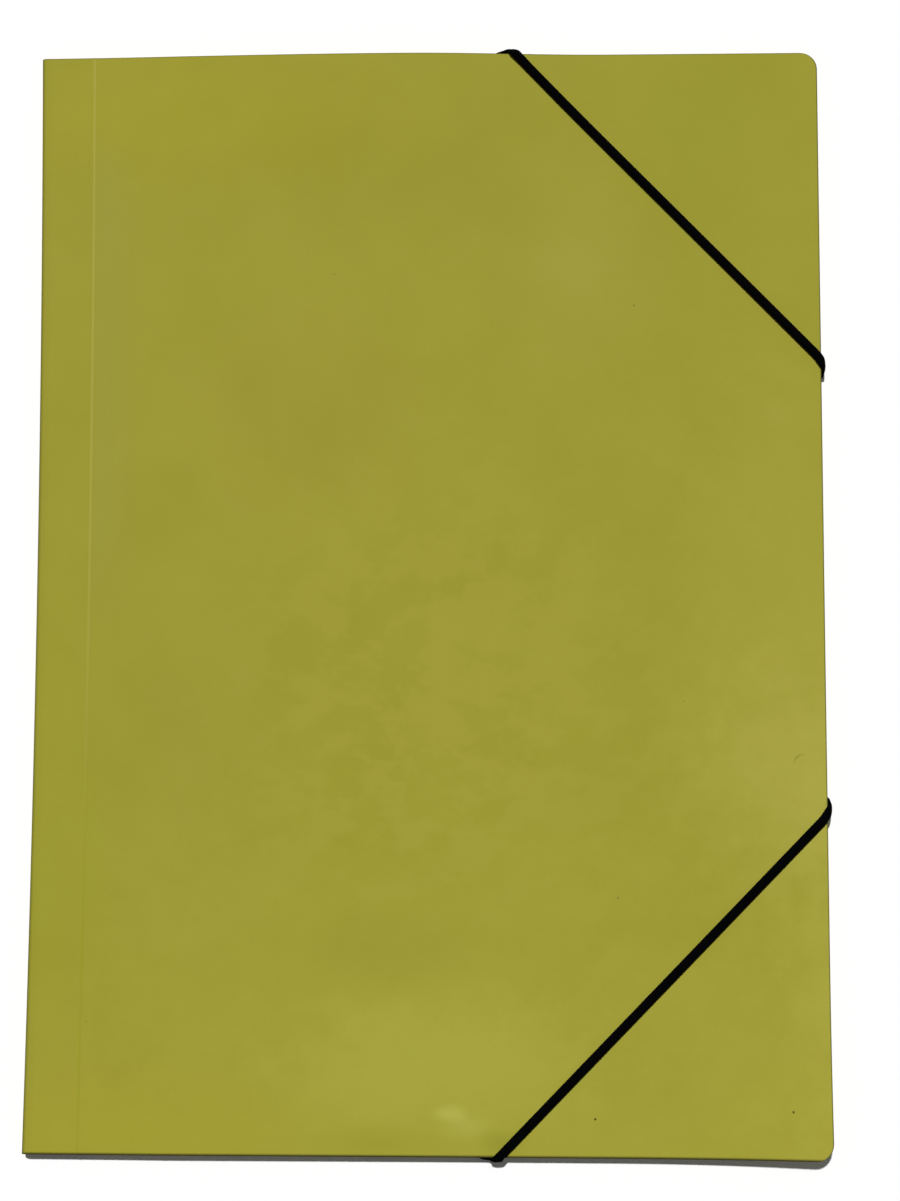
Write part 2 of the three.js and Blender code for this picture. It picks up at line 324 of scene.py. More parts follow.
def keep_flat_places(piece: bpy.types.Object, places: np.ndarray) -> None:
    """Store where each point lies in the closed flat folder, which the finish reads at every pose."""
    attribute = piece.data.attributes.new("flat", "FLOAT_VECTOR", "POINT")
    attribute.data.foreach_set("vector", places.ravel())


def thicken(piece: bpy.types.Object) -> None:
    """Give a sheet the card's thickness, half to each side, with slightly broken edges.

    Args:
        piece: the sheet's object.
    """
    solid = piece.modifiers.new("thickness", "SOLIDIFY")
    solid.thickness = CARD.thick
    solid.offset = 0
    solid.use_even_offset = True
    bevel = piece.modifiers.new("edges", "BEVEL")
    bevel.width = CARD.edge_break
    bevel.segments = CARD.edge_steps
    bevel.limit_method = "ANGLE"
    bevel.angle_limit = CARD.edge_angle
    bevel.harden_normals = True


@dataclass
class CoverSheet:
    """The front cover, the spine fold and the strip of the back cover up to its scored line, as one sheet.

    Fields:
        step: widest spacing of the points.
        edge_step: from an end edge to the first line of points inside it.
        side_steps: from the opening edge to the first two lines of points inside it.
        arc_steps: spaces between points round the spine fold.
        score_step: spacing of the points across the scored line.
        score_reach: half-width of the finely spaced band there.
        score_ridge: height of the bead that the scoring raises on the outer face.
        score_width: half-width of that bead.
        side_reach: painted shade darkens the opening edge this far in, with foot_reach and head_reach the same
            at the foot and at the head, and fold_reach at the spine fold.
        foot_shade_gain: the foot's painted shade, standing for its shaded rim and the shadow under it, is
            raised by this and held at its full strength nearest the edge.
    """

    step: float = 2.4 * MM
    edge_step: float = 0.3 * MM
    side_steps: Pair = (0.2 * MM, 0.44 * MM)
    arc_steps: int = 14
    score_step: float = 0.15 * MM
    score_reach: float = 1.5 * MM
    score_ridge: float = 0.08 * MM
    score_width: float = 0.45 * MM
    side_reach: float = 0.42 * MM
    foot_reach: float = 0.62 * MM
    head_reach: float = 0.2 * MM
    fold_reach: float = 1.8 * MM
    foot_shade_gain: float = 1.7

    def edge_shade(self, x: np.ndarray, y: np.ndarray) -> np.ndarray:
        """Return the share of painted shade: the largest of its falls from each edge and from the spine fold.

        Args:
            x: X of the points on the square-cornered sheet.
            y: their Y.

        Returns:
            Shares from 0, unshaded, to 1.
        """
        # Painted shade along the cut edges and by the spine fold, raised and held at the foot edge, which
        # faces away from the lamp.
        side = 1 - (CARD.edge_x - x) / self.side_reach
        foot = self.foot_shade_gain * (1 - (CARD.half_height + y) / self.foot_reach)
        head = 1 - (CARD.half_height - y) / self.head_reach
        fold = np.clip(1 - (x - CARD.spine_x) / self.fold_reach, 0, 1) ** 2
        return np.clip(np.maximum.reduce([side, foot, head, fold]), 0, 1)

    def section(self) -> tuple[np.ndarray, np.ndarray]:
        """Lay out the section: a straight strip of the back, a half circle round the spine, and the front.

        Returns:
            X and Z of its points, from the back's scored line round the spine to the opening edge.
        """
        start = CARD.spine_x + CARD.spine_radius
        radius = CARD.spine_radius - CARD.thick / 2
        strip = spaced([start, CARD.score_x], self.step)[::-1]
        turn = np.linspace(-np.pi / 2, -3 * np.pi / 2, self.arc_steps + 1)[1:-1]
        score = spaced([CARD.score_x - self.score_reach, CARD.score_x + self.score_reach], self.score_step)
        near_edge = [CARD.edge_x - inside for inside in (*reversed(self.side_steps), 0)]
        to_score = spaced([start, score[0]], self.step)[:-1]
        to_edge = spaced([score[-1], *near_edge], self.step)[1:]
        front = np.concatenate([to_score, score, to_edge])
        low = np.full(len(strip), CARD.spine_z - radius)
        high = np.full(len(front), CARD.spine_z + radius)
        x = np.concatenate([strip, start + radius * np.cos(turn), front])
        z = np.concatenate([low, CARD.spine_z + radius * np.sin(turn), high])
        return x, z

    def build(self) -> bpy.types.Object:
        """Carry the section up the page, draw in its corners, raise the scored line's bead and warp it.

        The bead is a bell curve across the scored line. A corner's pull is shared out over the row, from
        nothing at the scored line to all of it at the opening edge.

        Returns:
            The sheet, with its edge shade and flat attributes.
        """
        x, z = self.section()
        top = CARD.half_height
        inside, corner = -top + self.edge_step, -top + CARD.corner_radius
        near = top - CARD.corner_rows
        y = np.unique(np.concatenate([spaced([inside, corner, -corner, -inside], self.step), near, -near]))
        grid_x, grid_y = np.meshgrid(x, y)
        grid_z = np.broadcast_to(z, grid_x.shape).copy()
        edge_shade = self.edge_shade(grid_x, grid_y)
        front = grid_z > CARD.spine_z
        pull = corner_pull(top - np.abs(grid_y), CARD.corner_radius)
        share = np.clip((grid_x - CARD.score_x) / (CARD.edge_x - CARD.score_x), 0, 1)
        grid_x = grid_x - pull * share * front
        flat = np.stack([grid_x, grid_y, grid_z], axis=-1)
        off_score = (grid_x - CARD.score_x) / self.score_width
        bead = self.score_ridge * np.exp(-(off_score**2))
        grid_z += np.where(front, bead + WARP.height(grid_x, grid_y), 0)
        grid_x = grid_x + WARP.draw(grid_x, grid_y)
        sheet = MeshPiece("cover_sheet")
        sheet.add(np.stack([grid_x, grid_y, grid_z], axis=-1), grid_faces(*grid_x.shape))
        piece = sheet.build()
        # The share of painted edge shade, stored for the finish.
        piece.data.attributes.new("edge_shade", "FLOAT", "POINT").data.foreach_set("value", edge_shade.ravel())
        keep_flat_places(piece, flat)
        thicken(piece)
        return piece


@dataclass
class BackPanel:
    """The back cover right of its scored line, with its cord holes and three folded flaps, as one sheet.

    Fields:
        holes: middles of the cord holes.
        inset: how far the folded edges stand back from the front cover's edges.
        end_space: between the back cover and the end flaps.
        side_space: between the back cover and the side flap.
        corner_gap: from a corner to where a fold starts.
        score_gap: from the scored line to where the end flaps start.
        end_depth: of the flaps at the head and the foot.
        side_depth: of the flap at the opening edge.
        slant: each end of a flap draws in by this.
        flap_radius: of the flaps' free corners, drawn in flap_steps.
        sag: of a flap's middle.
        hole_radius: of the cord holes.
        hole_window: half-width of the square of finer points round each hole, window_steps across and
            hole_rings deep.
        step: widest spacing of the points.
        fold_steps: spaces between points round a flap's fold.
    """

    holes: list[np.ndarray]
    inset: float = 0.8 * MM
    end_space: float = 0.8 * MM
    side_space: float = 1.4 * MM
    corner_gap: float = 9 * MM
    score_gap: float = 4 * MM
    end_depth: float = 85 * MM
    side_depth: float = 100 * MM
    slant: float = 16 * MM
    flap_radius: float = 10 * MM
    flap_steps: int = 7
    sag: float = 0.05 * MM
    hole_radius: float = 1.5 * MM
    hole_window: float = 3 * MM
    window_steps: int = 6
    hole_rings: int = 3
    step: float = 4 * MM
    fold_steps: int = 10

    def __post_init__(self) -> None:
        """Work out the fold lines from the sizes."""
        self.level = CARD.back_z + CARD.thick / 2
        self.top = CARD.half_height - self.inset
        self.right = CARD.edge_x - self.inset
        self.end_start = CARD.score_x + self.score_gap
        self.end_stop = self.right - self.corner_gap
        self.side_stop = self.top - self.corner_gap
        self.end_line = self.top - CARD.thick - self.end_space / 2
        self.side_line = self.right - CARD.thick - self.side_space / 2

    def lines(self, stops: list[float], centres: np.ndarray) -> np.ndarray:
        """Lay out grid lines along one axis.

        Args:
            stops: positions that must be hit.
            centres: positions of the holes on this axis, of which those that coincide count once.

        Returns:
            Positions through the stops and through each hole window's own even lines, rounded to a nanometre
            so that those that coincide become one.
        """
        single = [centre for i, centre in enumerate(centres) if np.all(np.abs(centres[:i] - centre) > TINY)]
        window = np.linspace(-self.hole_window, self.hole_window, self.window_steps + 1)
        near = [centre + window for centre in single]
        plain = spaced(sorted([*stops, *[line[end] for line in near for end in (0, -1)]]), self.step)
        for line in near:
            plain = plain[(plain < line[0] - TINY) | (plain > line[-1] + TINY)]
        return np.unique(np.concatenate([plain, *near]).round(9))

    def panel(self, sheet: MeshPiece) -> tuple[np.ndarray, np.ndarray]:
        """Add the flat panel, with notches where the folds start and a patch round each hole.

        Args:
            sheet: the piece that it joins.

        Returns:
            The panel's grid lines along X and along Y.
        """
        centres = np.array(self.holes)
        x_stops = [CARD.score_x, self.end_start, self.end_stop, self.side_line, self.right]
        y_stops = [self.side_stop, self.end_line, *(self.top - CARD.corner_rows)[:-1]]
        xs = self.lines(x_stops, centres[:, 0])
        ys = self.lines(sorted({*y_stops, *[-y for y in y_stops]}), centres[:, 1])
        grid_x, grid_y = np.meshgrid(xs, ys)
        mid_x = (grid_x[:-1, :-1] + grid_x[1:, 1:]) / 2
        mid_y = (grid_y[:-1, :-1] + grid_y[1:, 1:]) / 2
        in_end_fold = (np.abs(mid_y) > self.end_line) & (mid_x > self.end_start) & (mid_x < self.end_stop)
        in_side_fold = (mid_x > self.side_line) & (np.abs(mid_y) < self.side_stop)
        keep = ~(in_end_fold | in_side_fold)
        for hole in self.holes:
            keep &= np.maximum(np.abs(mid_x - hole[0]), np.abs(mid_y - hole[1])) > self.hole_window
        pull = corner_pull(self.top - np.abs(grid_y), CARD.corner_radius)
        share = np.clip((grid_x - self.end_stop) / (self.right - self.end_stop), 0, 1)
        points = np.stack([grid_x - pull * share, grid_y, np.full(grid_x.shape, self.level)], axis=-1)
        sheet.add(points, grid_faces(*grid_x.shape, keep=keep))
        for hole in self.holes:
            self.hole(sheet, hole, xs, ys)
        return xs, ys

    def hole(self, sheet: MeshPiece, hole: np.ndarray, xs: np.ndarray, ys: np.ndarray) -> None:
        """Add the patch round one hole: rings of points evenly from the circle out to the square window.

        Args:
            sheet: the piece that it joins.
            hole: the hole's middle.
            xs: the panel's grid lines along X.
            ys: the same along Y.
        """
        inside_x = xs[np.abs(xs - hole[0]) <= self.hole_window + TINY]
        inside_y = ys[np.abs(ys - hole[1]) <= self.hole_window + TINY]
        low_x, high_x, low_y, high_y = inside_x[0], inside_x[-1], inside_y[0], inside_y[-1]
        around = [(x, low_y) for x in inside_x[:-1]] + [(high_x, y) for y in inside_y[:-1]]
        around += [(x, high_y) for x in inside_x[:0:-1]] + [(low_x, y) for y in inside_y[:0:-1]]
        outer = np.array([*around, around[0]])
        arm = outer - hole[:2]
        circle = hole[:2] + self.hole_radius * arm / np.linalg.norm(arm, axis=1, keepdims=True)
        share = np.linspace(0, 1, self.hole_rings + 1)[:, None, None]
        ring = circle + (outer - circle) * share
        points = np.concatenate([ring, np.full((*ring.shape[:2], 1), self.level)], axis=-1)
        sheet.add(points, grid_faces(*ring.shape[:2]))

    def flap(self, sheet: MeshPiece, along: np.ndarray, space: float, depth: float, place: Placer) -> None:
        """Add one flap and its fold: a half circle, then a flat trapezium with rounded free corners.

        Args:
            sheet: the piece that it joins.
            along: positions along the fold, which match the panel's grid lines.
            space: between the panel and the flap.
            depth: of the flap, from its folded edge.
            place: turns along, out and up into points of the part.
        """
        radius = (space + CARD.thick) / 2
        turn = np.linspace(-np.pi / 2, np.pi / 2, self.fold_steps + 1)
        reach = depth - radius - CARD.thick / 2
        near = self.flap_radius * (1 - np.cos(np.linspace(0, np.pi / 2, self.flap_steps + 1)))
        plain = spaced([0, reach - self.flap_radius], self.step)
        back = np.unique(np.concatenate([plain, reach - near]))[1:]
        out = np.concatenate([radius * np.cos(turn), -back])
        up = np.concatenate([radius + radius * np.sin(turn), np.full(len(back), 2 * radius)])
        middle = (along[0] + along[-1]) / 2
        half = (along[-1] - along[0]) / 2
        inward = np.clip(-out, 0, None)
        width = half - self.slant * inward / reach - corner_pull(reach - inward, self.flap_radius)
        share = (along - middle) / half
        grid_along = middle + share[None, :] * width[:, None]
        sag = self.sag * np.sin(np.pi * inward / reach)[:, None] * np.cos(np.pi * share)[None, :]
        grid_out = np.broadcast_to(out[:, None], grid_along.shape)
        grid_up = up[:, None] - sag
        sheet.add(place(grid_along, grid_out, self.level + grid_up), grid_faces(*grid_along.shape))

    def build(self) -> bpy.types.Object:
        """Join the panel and its flaps, and draw them in at the spine as the front cover is.

        Returns:
            The sheet, with its flat attribute.
        """
        sheet = MeshPiece("back_panel")
        xs, ys = self.panel(sheet)
        end = xs[(xs > self.end_start - TINY) & (xs < self.end_stop + TINY)]
        side = ys[np.abs(ys) < self.side_stop + TINY]

        def at_head(along: np.ndarray, out: np.ndarray, up: np.ndarray) -> np.ndarray:
            """Return points of the flap at the head."""
            return np.stack([along, self.end_line + out, up], axis=-1)

        def at_foot(along: np.ndarray, out: np.ndarray, up: np.ndarray) -> np.ndarray:
            """Return points of the flap at the foot."""
            return np.stack([along, -self.end_line - out, up], axis=-1)

        def at_side(along: np.ndarray, out: np.ndarray, up: np.ndarray) -> np.ndarray:
            """Return points of the flap at the opening edge."""
            return np.stack([self.side_line + out, along, up], axis=-1)

        self.flap(sheet, end, self.end_space, self.end_depth, at_head)
        self.flap(sheet, end, self.end_space, self.end_depth, at_foot)
        self.flap(sheet, side, self.side_space, self.side_depth, at_side)
        for points in sheet.points:
            points[:, 0] += WARP.draw(points[:, 0], points[:, 1])
        piece = sheet.build(weld=WELD)
        keep_flat_places(piece, np.array([vertex.co for vertex in piece.data.vertices]))
        thicken(piece)
        return piece


@dataclass
class ElasticCord:
    """One flat braided cord from hole to hole, laid out flat and then carried round the folder's edges.

    Fields:
        name: of the piece.
        node: the CAD node that it stands for.
        side: 1 for the upper corner, -1 for the lower one.
        along_end: from the corner to where it crosses the end edge.
        along_side: from the corner to where its straight run would cross the opening edge.
        stand_off: how far it stands away from the end edge as it goes over, over edge_reach to each side.
        slip: how far it strays along that edge as it goes over, away from the corner.
        edge_reach: half-length of the stretch that stands away.
        width: of the cord.
        thick: of the cord.
        clearance: between it and the card.
        bend_radius: of its middle, round an edge and into a hole.
        lean: just before the opening edge it turns this much further along that edge, over lean_run.
        square: past the edge it turns back to this angle from the edge's square, over square_run.
        hole_inset: from the front cover's edge to a hole.
        rise: of its end above the back cover's underside.
        step: spacing of its rings of points.
        around: points in a ring.
        fullness: power that squares its round section off, where 1 is an ellipse.
        yarn_pitch: length of one crossing of the braid.
        yarn_count: crossings round the cord.
        yarn_relief: how far a yarn stands up, with yarn_crown the power that flattens its top.
        keep: share of its height that it would keep as the cover opens and it sank onto the flaps; not used.
    """

    name: str
    node: str
    side: int
    along_end: float
    along_side: float
    stand_off: float = 0.0
    slip: float = 0.0
    edge_reach: float = 4.2 * MM
    width: float = 2.6 * MM
    thick: float = 1.2 * MM
    clearance: float = 0.1 * MM
    bend_radius: float = 0.8 * MM
    lean: float = math.radians(13)
    lean_run: float = 3.5 * MM
    square: float = math.radians(25)
    square_run: float = 3 * MM
    hole_inset: float = 11.5 * MM
    rise: float = 0.4 * MM
    step: float = 0.13 * MM
    around: int = 30
    fullness: float = 0.8
    yarn_pitch: float = 1.1 * MM
    yarn_count: int = 8
    yarn_relief: float = 0.1 * MM
    yarn_crown: float = 0.6
    keep: float = 0.82

    def __post_init__(self) -> None:
        """Work out the route from the sizes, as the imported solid's."""
        self.slope = math.atan2(self.along_side, self.along_end)
        self.lift = self.clearance + self.thick / 2
        self.set_in = self.bend_radius - self.lift
        self.turn = self.bend_radius * math.pi / 2
        self.fall = CARD.front_z - CARD.back_z + 2 * self.lift - 2 * self.bend_radius
        self.over = 2 * self.turn + self.fall
        beyond = self.over + self.hole_inset - 2 * self.set_in
        self.legs = self.flat_legs()
        turned = sum(length for length, _ in self.legs[:-1])
        x, _, heading = self.flat(np.array(turned))
        self.first = -beyond / math.sin(self.slope)
        self.last = turned + float((CARD.edge_x + beyond - x) / np.cos(heading))

    def flat_legs(self) -> list[Pair]:
        """Lay out the flat route: straight over the corner, a bend to the lean, one back to the square.

        Returns:
            The legs, each with its length and its turn to the left. The last runs on straight.
        """
        steep = self.slope + self.lean / 2
        straight = (self.along_end - self.lean_run * math.cos(steep)) / math.cos(self.slope)
        back = self.slope + self.lean - self.square
        return [(straight, 0), (self.lean_run, -self.lean), (self.square_run, back), (math.inf, 0)]

    def flat(self, distance: np.ndarray) -> tuple[np.ndarray, np.ndarray, np.ndarray]:
        """Follow the flat route, each leg an arc, which adds its chord at half its turn.

        Args:
            distance: along the cord from where it crosses the end edge.

        Returns:
            X, Y and heading of the cord's middle line, laid out flat in the front cover's plane.
        """
        x = np.full(distance.shape, CARD.edge_x - self.along_end)
        y = np.full(distance.shape, CARD.half_height)
        heading = np.full(distance.shape, -self.slope)
        begun = 0.0
        for length, turn in self.legs:
            run = np.clip(distance - begun, 0 if begun else -math.inf, length)
            half = turn * run / length / 2
            chord = run * np.sinc(half / math.pi)
            x = x + chord * np.cos(heading + half)
            y = y + chord * np.sin(heading + half)
            heading = heading + 2 * half
            begun += length
        return x, y, heading

    def over_edge(self, travel: np.ndarray, out: np.ndarray) -> tuple[np.ndarray, np.ndarray]:
        """Carry points over an edge: flat on the front, a quarter turn, down, a quarter turn, flat behind.

        Args:
            travel: how far each point has gone past the start of the edge's bend.
            out: how far it stands out from the cord's middle.

        Returns:
            How far out past the start of the bend it lies, and how high.
        """
        radius = self.bend_radius + out
        top = CARD.front_z + self.lift - self.bend_radius
        bottom = CARD.back_z - self.lift + self.bend_radius
        upper = np.clip(travel, 0, self.turn) / self.bend_radius
        lower = np.clip(travel - self.turn - self.fall, 0, self.turn) / self.bend_radius
        down = np.clip(travel - self.turn, 0, self.fall)
        low = travel > self.turn + self.fall / 2
        reach = np.where(low, radius * np.cos(lower), radius * np.sin(upper))
        level = np.where(low, bottom - radius * np.sin(lower), top + radius * np.cos(upper))
        level = level + np.where(low, self.fall - down, -down)
        reach = reach + np.minimum(travel, 0) - np.maximum(travel - self.over, 0)
        return reach, level

    def wrap(self, x: np.ndarray, y: np.ndarray, out: np.ndarray) -> np.ndarray:
        """Wrap points of the flat layout round the folder, and onto the warped front cover.

        At the end edge a squared cosine over edge_reach sets them away from it, and a squared sine over the
        way round it shifts them along it.

        Args:
            x: X of the points, laid out flat.
            y: their Y.
            out: how far they stand out from the cord's middle.

        Returns:
            The points of the part.
        """
        end_line = CARD.half_height - self.set_in
        side_line = CARD.edge_x - self.set_in
        past_end, past_side = y - end_line, x - side_line
        by_end = past_end > 0
        travel = np.where(by_end, past_end, past_side)
        from_bend = np.clip(np.abs(past_end - self.turn / 2) / self.edge_reach, 0, 1)
        reach, level = self.over_edge(travel, out + self.stand_off * np.cos(np.pi / 2 * from_bend) ** 2)
        strayed = self.slip * np.sin(np.pi * np.clip(past_end / self.over, 0, 1)) ** 2
        flat_x = np.where(by_end, x - strayed, side_line + reach)
        flat_y = self.side * np.where(by_end, end_line + reach, y)
        on_front = 1 - np.clip(travel / self.turn, 0, 1)
        level = level + on_front * WARP.height(flat_x, flat_y)
        return np.stack([flat_x, flat_y, level], axis=-1)

    def at(self, distance: np.ndarray, across: np.ndarray, out: np.ndarray) -> np.ndarray:
        """Return the points of the part for points of the straightened cord.

        Args:
            distance: along the cord from where it crosses the end edge.
            across: offset across its width.
            out: how far it stands out from the cord's middle.

        Returns:
            The points. Both ends of the cord turn in through their holes.
        """
        past_first = self.first + self.bend_radius - distance
        past_last = distance - (self.last - self.bend_radius)
        past = np.maximum(np.maximum(past_first, past_last), 0)
        way = np.where(past_first > past_last, -1, 1)
        angle = np.minimum(past / self.bend_radius, np.pi / 2)
        radius = self.bend_radius + out
        x, y, heading = self.flat(distance - way * past)
        along = way * radius * np.sin(angle)
        height = radius * np.cos(angle) - self.bend_radius - np.maximum(past - self.turn, 0)
        x = x + along * np.cos(heading) - across * self.side * np.sin(heading)
        y = y + along * np.sin(heading) + across * self.side * np.cos(heading)
        return self.wrap(x, y, height)

    def ends(self, tail: float) -> np.ndarray:
        """Return the distances of both ends of the cord, with a tail past the start of each hole's bend."""
        return np.array([self.first + self.bend_radius - tail, self.last - self.bend_radius + tail])

    def holes(self) -> np.ndarray:
        """Return the middles of the two cord holes."""
        middle = np.zeros(2)
        return self.at(self.ends(self.turn), middle, middle)

    def section(self) -> tuple[np.ndarray, np.ndarray, np.ndarray]:
        """Lay out the cord's section, an ellipse squared off into a flat band with round sides.

        Returns:
            Of each point of a ring, its place across, its place out and its turn.
        """
        turn = np.linspace(0, 2 * np.pi, self.around, endpoint=False)
        across = np.sign(np.cos(turn)) * np.abs(np.cos(turn)) ** self.fullness * self.width / 2
        out = np.sign(np.sin(turn)) * np.abs(np.sin(turn)) ** self.fullness * self.thick / 2
        return across, out, turn

    def braid(self, distance: np.ndarray, turn: np.ndarray) -> np.ndarray:
        """Work out the braid: two crossing sets of yarns that pass over each other in turn.

        Each set's height is a flattened sine of its own winding number, and the set that is over shows
        where the whole parts of both numbers add up to an even one.

        Args:
            distance: along the cord.
            turn: round its section.

        Returns:
            The relief, from a yarn's depth below the surface up to it.
        """
        along = distance / self.yarn_pitch
        round_share = turn / (2 * np.pi) * self.yarn_count
        left, right = along + round_share, along - round_share
        over = (np.floor(left) + np.floor(right)) % 2 == 0
        crown_left = np.abs(np.sin(np.pi * left)) ** self.yarn_crown
        crown_right = np.abs(np.sin(np.pi * right)) ** self.yarn_crown
        return self.yarn_relief * (np.where(over, crown_left, crown_right) - 1)

    def build(self) -> bpy.types.Object:
        """Carry the section along the route with the braid on it, and close both ends.

        Returns:
            The cord.
        """
        distance = spaced(self.ends(self.turn + self.rise).tolist(), self.step)
        across, out, turn = self.section()
        relief = 1 + self.braid(distance[:, None], turn[None, :]) / (self.thick / 2)
        far = np.broadcast_to(distance[:, None], relief.shape)
        points = self.at(far, across[None, :] * (relief + 1) / 2, out * relief)
        rings = len(distance)
        index = np.arange(rings * self.around).reshape(rings, self.around)
        closed = np.concatenate([index, index[:, :1]], axis=1)
        quads = np.stack([closed[:-1, :-1], closed[1:, :-1], closed[1:, 1:], closed[:-1, 1:]], axis=-1)
        cord = MeshPiece(self.name)
        cord.add(points, quads.reshape(-1, 4))
        for ring, way in ((index[0], 1), (index[-1], -1)):
            half = self.around // 2
            left, right = ring[:half], ring[::-1][:half]
            strip = np.stack([left[:-1], left[1:], right[1:], right[:-1]], axis=-1)[:, ::way]
            cord.quads.append(strip)
        return cord.build(closed=True)


@dataclass(frozen=True)
class Grain:
    """A noise pattern.

    Fields:
        scale: in cycles per metre.
        detail: how many finer layers it has.
        rough: how strong each finer layer is, of the one before.
        band: the part of its range that is spread from 0 to 1.
        stretch: cycles along X, Y and Z, as shares of its scale.
    """

    scale: float
    detail: float
    rough: float
    band: Pair = (0.0, 1.0)
    stretch: Triple = (1.0, 1.0, 1.0)


class Nodes:
    """A small helper that adds nodes to a new material and wires them."""

    def __init__(self, name: str) -> None:
        """Start a material with its Principled shader alone.

        Args:
            name: of the material.
        """
        self.material = bpy.data.materials.new(name)
        self.material.use_nodes = True
        self.tree = self.material.node_tree
        self.shader = self.tree.nodes["Principled BSDF"]
        self.coordinates = self.add("ShaderNodeTexCoord").outputs["Object"]

    def add(self, kind: str, **settings: object) -> bpy.types.Node:
        """Add a node.

        Args:
            kind: its type's name.
            **settings: values of its properties, by their names.

        Returns:
            The node.
        """
        node = self.tree.nodes.new(kind)
        for key, value in settings.items():
            setattr(node, key, value)
        return node

    def link(self, source: Socket | float | tuple, target: Socket) -> None:
        """Wire an output, or set a plain value, on an input.

        Args:
            source: the output, number, colour or vector.
            target: the input.
        """
        if isinstance(source, (int, float, tuple)):
            target.default_value = source
        else:
            self.tree.links.new(source, target)

    def attribute(self, name: str) -> bpy.types.Node:
        """Return a node that reads a stored attribute of the piece."""
        return self.add("ShaderNodeAttribute", attribute_name=name)

    def noise(self, grain: Grain) -> Socket:
        """Return a grain's plain value over the piece.

        Args:
            grain: the pattern.

        Returns:
            The value, near 0.5 in the middle of its range.
        """
        mapping = self.add("ShaderNodeMapping")
        self.link(grain.stretch, mapping.inputs["Scale"])
        self.link(self.coordinates, mapping.inputs["Vector"])
        node = self.add("ShaderNodeTexNoise")
        self.link(mapping.outputs["Vector"], node.inputs["Vector"])
        self.link(grain.scale, node.inputs["Scale"])
        self.link(grain.detail, node.inputs["Detail"])
        self.link(grain.rough, node.inputs["Roughness"])
        return node.outputs["Fac"]

    def grain(self, grain: Grain, low: float = 0, high: float = 1) -> Socket:
        """Return a grain's value, its band carried to the range from low to high."""
        return self.spread(self.noise(grain), *grain.band, low, high)

    def spread(
        self,
        value: Socket | float,
        low: float,
        high: float,
        to_low: float = 0,
        to_high: float = 1,
        smooth: bool = False,
    ) -> Socket:
        """Carry a value from one range to another, held at its ends.

        Args:
            value: the value.
            low: start of its range.
            high: end of its range.
            to_low: what the start becomes.
            to_high: what the end becomes.
            smooth: whether it goes by an S-curve and not by a line.

        Returns:
            The new value.
        """
        node = self.add("ShaderNodeMapRange", interpolation_type="SMOOTHSTEP" if smooth else "LINEAR")
        self.link(value, node.inputs["Value"])
        for name, number in (("From Min", low), ("From Max", high), ("To Min", to_low), ("To Max", to_high)):
            node.inputs[name].default_value = number
        return node.outputs["Result"]

    def fork(self, value: Socket, start: float, full: float, fade: float, stop: float) -> Socket:
        """Pick out a stretch of a value's range.

        Args:
            value: the value.
            start: where the result leaves 0.
            full: from where it is 1.
            fade: up to where it is 1.
            stop: where it is 0 again.

        Returns:
            The result, with a line between each two levels.
        """
        return self.times(self.spread(value, start, full), self.spread(value, fade, stop, 1, 0))

    def math(self, operation: str, first: Socket | float, second: Socket | float = 0.0) -> Socket:
        """Work out two values by an operation.

        Args:
            operation: its name in the Math node.
            first: the first value.
            second: the second value, where it has one.

        Returns:
            The outcome.
        """
        node = self.add("ShaderNodeMath", operation=operation)
        self.link(first, node.inputs[0])
        self.link(second, node.inputs[1])
        return node.outputs[0]

    def times(self, first: Socket | float, second: Socket | float) -> Socket:
        """Return two values multiplied."""
        return self.math("MULTIPLY", first, second)

    def mix(self, share: Socket | float, first: Socket | Colour, second: Socket | Colour) -> Socket:
        """Blend two colours.

        Args:
            share: of the second.
            first: the colour at a share of 0.
            second: the colour at a share of 1.

        Returns:
            The blended colour.
        """
        node = self.add("ShaderNodeMix", data_type="RGBA")
        self.link(share, node.inputs["Factor"])
        self.link(first, node.inputs[6])
        self.link(second, node.inputs[7])
        return node.outputs[2]

    def distance(self, place: Pair) -> Socket:
        """Measure how far the surface is from a place on the front cover.

        Args:
            place: from the spine and the foot, in mm.

        Returns:
            The distance.
        """
        node = self.add("ShaderNodeVectorMath", operation="DISTANCE")
        self.link(self.coordinates, node.inputs[0])
        self.link(CARD.face(place), node.inputs[1])
        return node.outputs["Value"]

    def bump(self, height: Socket, distance: float, under: Socket | None = None) -> Socket:
        """Bump the surface.

        Args:
            height: how high it is, from 0 to 1.
            distance: height of a full step.
            under: a bumped normal that this one lies over.

        Returns:
            The bumped normal.
        """
        node = self.add("ShaderNodeBump")
        node.inputs["Distance"].default_value = distance
        self.link(height, node.inputs["Height"])
        if under is not None:
            self.link(under, node.inputs["Normal"])
        return node.outputs["Normal"]


def linear(red: int, green: int, blue: int) -> Colour:
    """Turn an sRGB colour into a linear one by the standard curve.

    Args:
        red: from 0 to 255.
        green: the same.
        blue: the same.

    Returns:
        The linear colour, with an alpha of 1.
    """
    share = np.array([red, green, blue]) / 255
    value = np.where(share <= 0.04045, share / 12.92, ((share + 0.055) / 1.055) ** 2.4)
    return (*[float(v) for v in value], 1.0)


@dataclass(frozen=True)
class SoftMark:
    """A soft-edged paler or darker place on the front cover.

    Fields:
        place: from the spine and the foot, in mm.
        reach: half-axes over which it fades away, in mm.
        colour: that it fades to.
        strength: of that colour at its middle.
    """

    place: Pair
    reach: Pair
    colour: Colour
    strength: float


@dataclass(frozen=True)
class Speck:
    """A dark speck in the pulp.

    Fields:
        place: from the spine and the foot, in mm.
        radius: of the speck, in mm.
        strength: of its colour.
    """

    place: Pair
    radius: float
    strength: float


